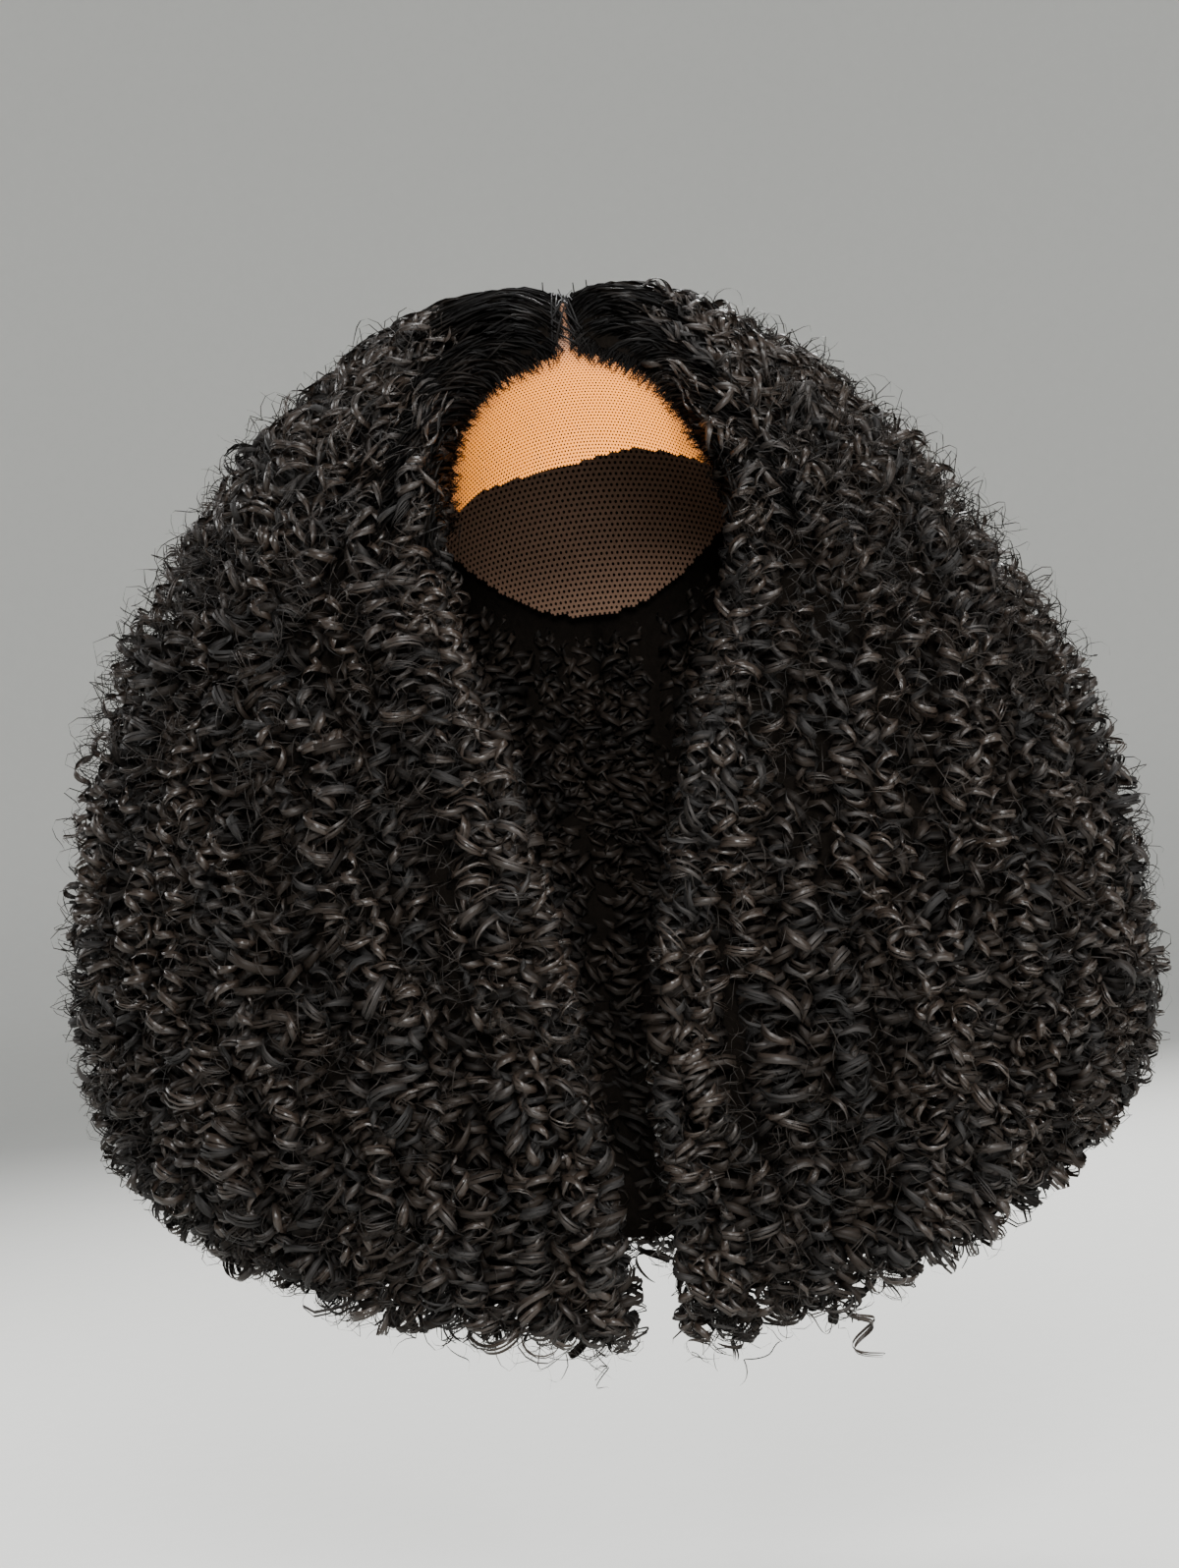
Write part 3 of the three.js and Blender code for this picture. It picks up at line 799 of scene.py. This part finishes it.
# Short hairs root from just past the parting on, no farther behind the hairline than BABY_BEHIND,
# and are swept away from a point of the face, given across and up.
BABY_ROWS = 8
BABY_START = 0.03
BABY_BEHIND = 3
BABY_MIDDLE = np.array([0.0, -80.0])
BABY_SPREAD = 0.35
BABY_LIFT, BABY_LIFT_LEAST = 0.7, 0.3
BABY_ARC = math.pi * 0.55
BABY_FACING = np.array([0.0, -1.0, 0.3])
BABY_TONE = 0.5


# Short hairs along the hairline, close to the head.
def baby_hairs(builder, side, count, inset, lengths, lift_most, width):
    count = int(count * AMOUNT)
    t = np.linspace(0, 1, BABY_ROWS)
    place = rng.uniform(PARTING_SHARE + BABY_START, 1, count)
    x, z, _ = root_places(side, place, rng.uniform(-inset, BABY_BEHIND, count))
    root = np.stack([x, z], axis=-1)
    away = unit(root - BABY_MIDDLE)
    turned = rng.normal(0, BABY_SPREAD, count)
    spread = np.stack([np.cos(turned), np.sin(turned)], axis=-1)
    away = np.stack([
        away[:, 0] * spread[:, 0] - away[:, 1] * spread[:, 1],
        away[:, 0] * spread[:, 1] + away[:, 1] * spread[:, 0],
    ], axis=-1)
    length = rng.uniform(*lengths, count)
    flat = root[:, None, :] + away[:, None, :] * (length[:, None] * t)[..., None]
    lift = rng.uniform(BABY_LIFT_LEAST, 1, count)[:, None] * lift_most * np.sin(BABY_ARC * t)
    lines = on_scalp(flat[..., 0], flat[..., 1], BABY_LIFT + lift)
    facing = np.broadcast_to(BABY_FACING, lines.shape)
    taper = np.minimum(0.4 + 3 * t, 1.4 - t)
    widths = width * taper[None, :] * np.ones((count, 1))
    builder.add_ribbons(lines, facing, widths, rng.uniform(0, BABY_TONE, (count, 1)))


# Hair on the inside of the mass, round the neck, from below the edge of the cap, which falls from
# the ear to the nape.
LINING_STYLE = Style(0.03, 3.0, 42, 1, 2.6, 0.35)
CAP_EDGE_DROP, CAP_EDGE_FALL = 102, 45
LINING_DROPS = (112, 390)
LINING_LENGTHS = (70, 110)
LINING_DEPTHS = (0.95, 1.0)


def lining_locks(builder, side, quarter, count):
    count = int(count * AMOUNT)
    share = quarter + rng.random(count)
    cap_edge = CAP_EDGE_DROP + CAP_EDGE_FALL * ease(share - quarter)
    drop = np.maximum(rng.uniform(*LINING_DROPS, count), cap_edge)
    length = np.minimum(rng.uniform(*LINING_LENGTHS, count), HAIR_LENGTH - drop)
    depth = rng.uniform(*LINING_DEPTHS, count)
    axes, normals = hanging_axes(side, share, drop, length, depth, LINING_STYLE)
    radius, turns = coil_size(length)
    wind(builder, axes, -normals, radius, turns, LINING_STYLE, curl_growth)


# One spiral curl that hangs below the hem on the right.
CURL_STYLE = Style(0.0, 0.0, 40, 3, 1.1, 0.3)
CURL_TOP, CURL_END = np.array([74.0, -96.0, -424.0]), np.array([79.0, -96.0, -464.0])
CURL_FACING = np.array([0.0, -1.0, 0.0])
CURL_RADIUS, CURL_TURNS = np.array([5.0]), np.array([3.0])


def hanging_curl(builder):
    t = np.linspace(0, 1, CURL_STYLE.rows)[:, None]
    axis = (CURL_TOP * (1 - t) + CURL_END * t)[None]
    facing = np.broadcast_to(CURL_FACING, axis.shape)
    wind(builder, axis, facing, CURL_RADIUS, CURL_TURNS, CURL_STYLE, curl_growth)


def plain_material(name, colour, roughness, specular):
    material = bpy.data.materials.new(name)
    material.use_nodes = True
    shader = material.node_tree.nodes["Principled BSDF"]
    shader.inputs["Base Color"].default_value = (*colour, 1)
    shader.inputs["Roughness"].default_value = roughness
    shader.inputs["Specular IOR Level"].default_value = specular
    return material


# Noise that raises the surface, given back to tint it too.
NOISE_DETAIL = 2.0


def add_bump(material, coordinates, scale, strength, distance):
    nodes, links = material.node_tree.nodes, material.node_tree.links
    noise = nodes.new("ShaderNodeTexNoise")
    noise.inputs["Scale"].default_value = scale
    noise.inputs["Detail"].default_value = NOISE_DETAIL
    bump = nodes.new("ShaderNodeBump")
    bump.inputs["Strength"].default_value = strength
    bump.inputs["Distance"].default_value = distance
    links.new(coordinates, noise.inputs["Vector"])
    links.new(noise.outputs["Fac"], bump.inputs["Height"])
    links.new(bump.outputs["Normal"], nodes["Principled BSDF"].inputs["Normal"])
    return noise


# Base colour between two colours.
def add_mix(material, factor, first, second):
    nodes, links = material.node_tree.nodes, material.node_tree.links
    mix = nodes.new("ShaderNodeMix")
    mix.data_type = "RGBA"
    mix.inputs["A"].default_value = (*first, 1)
    mix.inputs["B"].default_value = (*second, 1)
    links.new(factor, mix.inputs["Factor"])
    links.new(mix.outputs["Result"], nodes["Principled BSDF"].inputs["Base Color"])
    return mix


def add_attribute(material, name):
    attribute = material.node_tree.nodes.new("ShaderNodeAttribute")
    attribute.attribute_name = name
    return attribute.outputs["Fac"]


def set_range(node, end, low, high):
    node.inputs[f"{end} Min"].default_value = low
    node.inputs[f"{end} Max"].default_value = high


# Single hairs along a strand: scale of their noise across and along it, the part of the noise that
# counts, how much they differ in tone, and how they stand out.
FIBRE_SCALE = (3.5, 0.3, 1.0)
FIBRE_RANGE = (0.3, 0.7)
FIBRE_TONE = 0.35
FIBRE_STRENGTH, FIBRE_HEIGHT = 0.4, 0.0004


# Colour and gloss of the hair, with single hairs along each strand. Lighter hair is glossier.
def hair_material(name, dark, light, roughness, specular):
    material = plain_material(name, dark, roughness[0], specular)
    nodes, links = material.node_tree.nodes, material.node_tree.links
    place = nodes.new("ShaderNodeUVMap")
    place.uv_map = "strand"
    stretch = nodes.new("ShaderNodeMapping")
    stretch.inputs["Scale"].default_value = FIBRE_SCALE
    links.new(place.outputs["UV"], stretch.inputs["Vector"])
    noise = add_bump(material, stretch.outputs["Vector"], 1.0, FIBRE_STRENGTH, FIBRE_HEIGHT)
    fibres = nodes.new("ShaderNodeMapRange")
    set_range(fibres, "From", *FIBRE_RANGE)
    set_range(fibres, "To", -FIBRE_TONE, FIBRE_TONE)
    links.new(noise.outputs["Fac"], fibres.inputs["Value"])
    tone = nodes.new("ShaderNodeMath")
    links.new(add_attribute(material, "shade"), tone.inputs[0])
    links.new(fibres.outputs["Result"], tone.inputs[1])
    add_mix(material, tone.outputs["Value"], dark, light)
    gloss = nodes.new("ShaderNodeMapRange")
    set_range(gloss, "To", *roughness)
    links.new(tone.outputs["Value"], gloss.inputs["Value"])
    links.new(gloss.outputs["Result"], nodes["Principled BSDF"].inputs["Roughness"])
    return material


# Two colours mixed by noise in the object's own space, which also raises the surface.
MOTTLE_STRENGTH = 0.5


def mottled_material(name, dark, light, roughness, specular, scale, height):
    material = plain_material(name, dark, roughness, specular)
    place = material.node_tree.nodes.new("ShaderNodeTexCoord")
    noise = add_bump(material, place.outputs["Object"], scale, MOTTLE_STRENGTH, height)
    add_mix(material, noise.outputs["Fac"], dark, light)
    return material


hair = hair_material(
    "hair", dark=(0.0025, 0.0018, 0.0014), light=(0.024, 0.0172, 0.013),
    roughness=(0.75, 0.3), specular=0.34)
# Darker, duller copy of the hair for the inner layers and the lining: painted shade for the depth of the
# mass.
hair_inner_painted_shade = hair_material(
    "hair_inner_painted_shade", dark=(0.003, 0.0022, 0.0017), light=(0.014, 0.0104, 0.008),
    roughness=(0.7, 0.5), specular=0.12)
hair_loose = hair_material(
    "hair_loose", dark=(0.003, 0.0024, 0.002), light=(0.014, 0.0108, 0.0086),
    roughness=(0.6, 0.5), specular=0.16)
hair_sleek = hair_material(
    "hair_sleek", dark=(0.0008, 0.0006, 0.0005), light=(0.006, 0.0045, 0.0035),
    roughness=(0.6, 0.4), specular=0.06)
# Near-black, matte body behind the ringlets: painted shade for the depths of the hair.
hair_depth_painted_shade = mottled_material(
    "hair_depth_painted_shade", dark=(0.003, 0.0025, 0.002), light=(0.006, 0.0048, 0.004),
    roughness=1.0, specular=0.0, scale=300.0, height=0.002)

SIDES = [("left", -1), ("right", 1)]

PIECES = [("curls", hair), ("inner", hair_inner_painted_shade), ("roots", hair_sleek), ("loose", hair_loose)]


# The four pieces of a hair mass on one side, named for what each holds.
def make_pieces(mass, name, builders, node, slot):
    for builder, (kind, material) in zip(builders, PIECES):
        builder.make(f"{mass}_{kind}_{name}", material, node, slot)


for name, side in SIDES:
    curls, inner, roots, loose = Builder(), Builder(), Builder(), Builder()
    cover(curls, OUTER_LAYERS, side, quarter=0)
    face_wall(curls, side, count=110)
    waves(curls, side, count=115)
    hem(curls, side, quarter=0, count=80)
    if side > 0:
        hanging_curl(curls)
    cover(inner, INNER_LAYERS, side, quarter=0)
    sleek(roots, side, count=900)
    baby_hairs(roots, side, count=560, inset=8.0, lengths=(7, 20), lift_most=4.0, width=0.35)
    baby_hairs(roots, side, count=340, inset=2.0, lengths=(22, 40), lift_most=6.0, width=1.1)
    flyaways(loose, side, quarter=0, count=800)
    make_pieces("closure", name, (curls, inner, roots, loose), f"closure_hair_{name}", "closure_hair")

for name, side in SIDES:
    curls, inner, roots, loose = Builder(), Builder(), Builder(), Builder()
    cover(curls, OUTER_LAYERS, side, quarter=1)
    hem(curls, side, quarter=1, count=80)
    cover(inner, INNER_LAYERS, side, quarter=1)
    lining_locks(inner, side, quarter=1, count=230)
    crown(roots, side, count=520)
    flyaways(loose, side, quarter=1, count=480)
    make_pieces("weft", name, (curls, inner, roots, loose), "weft_hair", "weft_hair")


# Dark body of the hair behind its ringlets, painted shade for the shadowed depths of the mass, hollow
# like the whole mass: its depth and the deepest and innermost shares of the thickness, its levels,
# closer near the crown, and its shares round.
BODY_DEPTH = 22.0
BODY_DEEPEST, BODY_INSIDE = 0.75, 0.97
CROWN_LEVELS = np.linspace(8, 60, 12)
LOWER_LEVELS = np.linspace(75, HAIR_LENGTH - BODY_DEPTH, 20)
CLOSURE_SHARES, WEFT_SHARES = np.linspace(0.05, 1.0, 13), np.linspace(1.0, 2.0, 13)


def hair_body(name, side, shares, node):
    drops = np.concatenate([CROWN_LEVELS, LOWER_LEVELS])
    drop_grid, share_grid = np.meshgrid(drops, shares, indexing="ij")
    depth = (BODY_DEPTH + flatter(side)) / thickness(side, share_grid, drop_grid)
    outer = inside_point(side, share_grid, drop_grid, np.minimum(depth, BODY_DEEPEST))
    inner = inside_point(side, share_grid, drop_grid, np.full(drop_grid.shape, BODY_INSIDE))
    number = np.arange(2 * drop_grid.size).reshape(2, *drop_grid.shape)
    faces = []
    for grid in number:
        corners = [grid[:-1, :-1], grid[:-1, 1:], grid[1:, 1:], grid[1:, :-1]]
        faces.append(np.stack(corners, axis=-1).reshape(-1, 4))
    for rim in (number[:, :, 0], number[:, :, -1], number[:, 0, :], number[:, -1, :]):
        faces.append(np.stack([rim[0, :-1], rim[0, 1:], rim[1, 1:], rim[1, :-1]], axis=-1))
    points = np.stack([outer, inner]).reshape(-1, 3) * MM
    add_piece(name, face_mesh(name, points, np.concatenate(faces)), hair_depth_painted_shade, node)


for name, side in SIDES:
    hair_body(f"closure_body_{name}", side, CLOSURE_SHARES, f"closure_hair_{name}")
    hair_body(f"weft_body_{name}", side, WEFT_SHARES, "weft_hair")


# Net of six-sided meshes over the head, laid out flat round a middle turn, with equal areas: the
# head's usual radius, the reach of the flat layout, a hole's share of a mesh, and the map's width.
NET_RADIUS = 85.0
NET_REACH = 1.45
NET_HOLE = 0.5
NET_MAP = 2.1 * NET_REACH

# Turns past this one lie in front, below the middle of the head, and count as negative.
TURN_SPLIT = 300


def on_head(flat, middle):
    far = np.linalg.norm(flat, axis=-1)
    angle = 2 * np.arcsin(np.clip(far / 2, 0, 1))
    scale = np.sin(angle) / np.maximum(far, TINY)
    x, up, out = flat[..., 0] * scale, flat[..., 1] * scale, np.cos(angle)
    y = up * math.sin(middle) - out * math.cos(middle)
    z = out * math.sin(middle) + up * math.cos(middle)
    return x, y, z


# Corners of a mesh's hole are counted from 30 degrees, and a thread joins it to each neighbour.
def net(name, middle, pitch, lift, inside, material, node):
    step = pitch / NET_RADIUS
    row_step = step * math.sqrt(3) / 2
    columns, rows = int(NET_REACH / step), int(NET_REACH / row_step)
    row, column = np.meshgrid(np.arange(-rows, rows + 1), np.arange(-columns, columns + 1), indexing="ij")
    centres = np.stack([(column + 0.5 * (row % 2)) * step, row * row_step], axis=-1)
    x, y, z = on_head(centres, middle)
    across = np.degrees(np.arcsin(np.clip(x, -1, 1)))
    turn = np.degrees(np.arctan2(z, -y)) % 360
    turn = np.where(turn > TURN_SPLIT, turn - 360, turn)
    kept = inside(across, turn) & (np.abs(across) < EAR_REACH)
    kept[[0, -1]] = False
    kept[:, [0, -1]] = False
    number = np.where(kept, np.cumsum(kept).reshape(kept.shape) - 1, -1)
    at = np.nonzero(kept)
    odd = at[0] % 2 if rows % 2 == 0 else (at[0] + 1) % 2
    cell = number[at]
    east = number[at[0], at[1] + 1]
    north_east = number[at[0] + 1, at[1] + odd]
    north_west = number[at[0] + 1, at[1] + odd - 1]
    quads = [
        joined((cell, 5), (east, 3), (east, 2), (cell, 0)),
        joined((cell, 0), (north_east, 4), (north_east, 3), (cell, 1)),
        joined((cell, 1), (north_west, 5), (north_west, 4), (cell, 2)),
    ]
    triangles = [
        joined((cell, 1), (north_east, 3), (north_west, 5)),
        joined((cell, 0), (east, 2), (north_east, 4)),
    ]
    angle = np.radians(30 + 60 * np.arange(6))
    spokes = np.stack([np.cos(angle), np.sin(angle)], axis=-1) * NET_HOLE * step / math.sqrt(3)
    flat = (centres[kept][:, None, :] + spokes).reshape(-1, 2)
    x, y, z = on_head(flat, middle)
    reach = np.where(y < 0, HEAD_FRONT, HEAD_BACK) + lift
    points = np.stack([(HEAD_HALF + lift) * x, reach * y, (HEAD_HEIGHT + lift) * z - HEAD_HEIGHT], axis=-1)
    mesh = face_mesh(name, points * MM, np.concatenate(quads), np.concatenate(triangles))
    add_map(mesh, "OFBake", 0.5 + flat / NET_MAP)
    return add_piece(name, mesh, material, node)


# Faces between hole corners, each a cell and a corner, where all of the cells exist.
def joined(*corners):
    there = np.all([cell >= 0 for cell, _ in corners], axis=0)
    return np.stack([6 * cell[there] + corner for cell, corner in corners], axis=-1)


def on_lace(across, turn):
    return (turn > read(LACE_EDGE, 1, across)) & (turn < SEAM_TURN - SEAM_GAP)


def on_cap(across, turn):
    edge = 180 + (NAPE_TURN - 180) * np.cos(np.radians(across))
    return (turn > SEAM_TURN + SEAM_GAP) & (turn < edge)


# Hair that is tied into the lace darkens it, together with painted shade from the hair over it, from a
# little in front of the hairline to just behind.
KNOT_AND_SHADE_COLOUR = (0.20, 0.11, 0.07)
KNOT_SHADE_FROM, KNOT_SHADE_TO = -12.0, 2.0
KNOT_SHADE_DROPS = np.arange(0, 120.0)


def add_knots_and_shade(mesh):
    places = np.empty(3 * len(mesh.vertices))
    mesh.vertices.foreach_get("co", places)
    places = places.reshape(-1, 1, 3)[..., [0, 2]] / MM
    x, drop = places[:, 0, 0], HAIR_TOP - places[:, 0, 1]
    far = np.full(len(places), np.inf)
    for _, side in SIDES:
        line = np.stack([side * face_edge(side, KNOT_SHADE_DROPS), HAIR_TOP - KNOT_SHADE_DROPS], axis=-1)
        far = np.minimum(far, np.linalg.norm(places - line, axis=-1).min(axis=1))
    edge = np.where(x < 0, face_edge(-1, drop), face_edge(1, drop))
    behind = np.where(np.abs(x) > edge, far, -far)
    add_values(mesh, "knots_and_shade", ease((behind - KNOT_SHADE_FROM) / (KNOT_SHADE_TO - KNOT_SHADE_FROM)))


# Mixes the knots and the painted shade of the hair into the lace's colour.
def darken_knots_and_shade(material):
    plain = material.node_tree.nodes["Principled BSDF"].inputs["Base Color"].links[0].from_socket
    darkened = add_mix(material, add_attribute(material, "knots_and_shade"), KNOT_AND_SHADE_COLOUR, KNOT_AND_SHADE_COLOUR)
    material.node_tree.links.new(plain, darkened.inputs["A"])


lace_cloth = mottled_material(
    "lace", dark=(0.96, 0.26, 0.02), light=(1.0, 0.34, 0.03),
    roughness=0.6, specular=0.15, scale=900.0, height=0.0004)
darken_knots_and_shade(lace_cloth)
lace = net(
    "lace_net", middle=math.radians(45), pitch=1.6, lift=0.5, inside=on_lace,
    material=lace_cloth, node="lace_closure")
add_knots_and_shade(lace.data)

cap_cloth = mottled_material(
    "cap_net", dark=(0.10, 0.055, 0.035), light=(0.17, 0.10, 0.065),
    roughness=0.8, specular=0.2, scale=600.0, height=0.0006)
cap = net(
    "cap_net", middle=math.radians(152), pitch=3.0, lift=0.75, inside=on_cap,
    material=cap_cloth, node="wig_cap")

# Plain pale floor that curves up into a low wall all round: radius and height of its rings, in metres.
FLOOR = -0.62
RINGS = [(2.0, FLOOR), (3.6, FLOOR), (4.2, -0.57), (4.6, -0.42), (4.8, -0.1), (4.8, 1.6)]
RING_STEPS = 64


def make_backdrop(material):
    turns = np.linspace(0, TAU, RING_STEPS, endpoint=False)
    points = [(far * math.cos(turn), far * math.sin(turn), z) for far, z in RINGS for turn in turns]
    points = np.array([*points, (0.0, 0.0, FLOOR)])
    ring = np.arange(len(RINGS) * RING_STEPS).reshape(-1, RING_STEPS)
    ahead = np.roll(ring, -1, axis=1)
    quads = np.stack([ring[:-1], ahead[:-1], ahead[1:], ring[1:]], axis=-1)
    middle = np.full(RING_STEPS, len(points) - 1)
    triangles = np.stack([middle, ahead[0], ring[0]], axis=-1)
    mesh = face_mesh("backdrop", points, quads.reshape(-1, 4), triangles)
    mesh.materials.append(material)
    backdrop = bpy.data.objects.new("backdrop", mesh)
    bpy.context.collection.objects.link(backdrop)


make_backdrop(mottled_material(
    "paper", dark=(0.70, 0.70, 0.67), light=(0.73, 0.73, 0.70),
    roughness=0.9, specular=0.2, scale=60.0, height=0.0001))

# Soft lamps that face the wig's middle: name, place and size in metres, and power.
LAMP_AIM = Vector((0.0, 0.0, -0.22))
LAMPS = [
    ("key", (0.1, -1.9, 0.4), 0.5, 62),
    ("fill", (1.5, -1.3, 0.3), 0.6, 28),
    ("top", (0.2, 0.3, 1.7), 0.9, 36),
    ("rim", (-1.6, 0.7, 0.5), 0.6, 20),
    ("back", (0.4, 2.2, 0.8), 0.8, 45),
]

for name, place, size, power in LAMPS:
    lamp = bpy.data.lights.new(name, "AREA")
    lamp.shape = "DISK"
    lamp.size = size
    lamp.energy = power
    holder = bpy.data.objects.new(name, lamp)
    holder.location = place
    holder.rotation_euler = (LAMP_AIM - Vector(place)).to_track_quat("-Z", "Y").to_euler()
    bpy.context.collection.objects.link(holder)

# Faint light from all round.
AIR_COLOUR, AIR_STRENGTH = (0.9, 0.92, 0.95, 1), 0.4
world = bpy.data.worlds.new("studio")
world.use_nodes = True
world.node_tree.nodes["Background"].inputs["Color"].default_value = AIR_COLOUR
world.node_tree.nodes["Background"].inputs["Strength"].default_value = AIR_STRENGTH
bpy.context.scene.world = world

# Camera at the wig's mid height in front, rolled a little.
CAMERA_PLACE = Vector((-11.3, -1500, -212.6)) * MM
ROLL = math.radians(6.3)
FOCAL_LENGTH, SENSOR_WIDTH = 77.3, 36
camera = bpy.data.cameras.new("camera")
camera.lens = FOCAL_LENGTH
camera.sensor_width = SENSOR_WIDTH
view_point = bpy.data.objects.new("camera", camera)
right = Vector((math.cos(ROLL), 0, -math.sin(ROLL)))
up = Vector((math.sin(ROLL), 0, math.cos(ROLL)))
back = Vector((0, -1, 0))
turned = Matrix((right, up, back)).transposed().to_4x4()
view_point.matrix_world = Matrix.Translation(CAMERA_PLACE) @ turned
bpy.context.collection.objects.link(view_point)
bpy.context.scene.camera = view_point
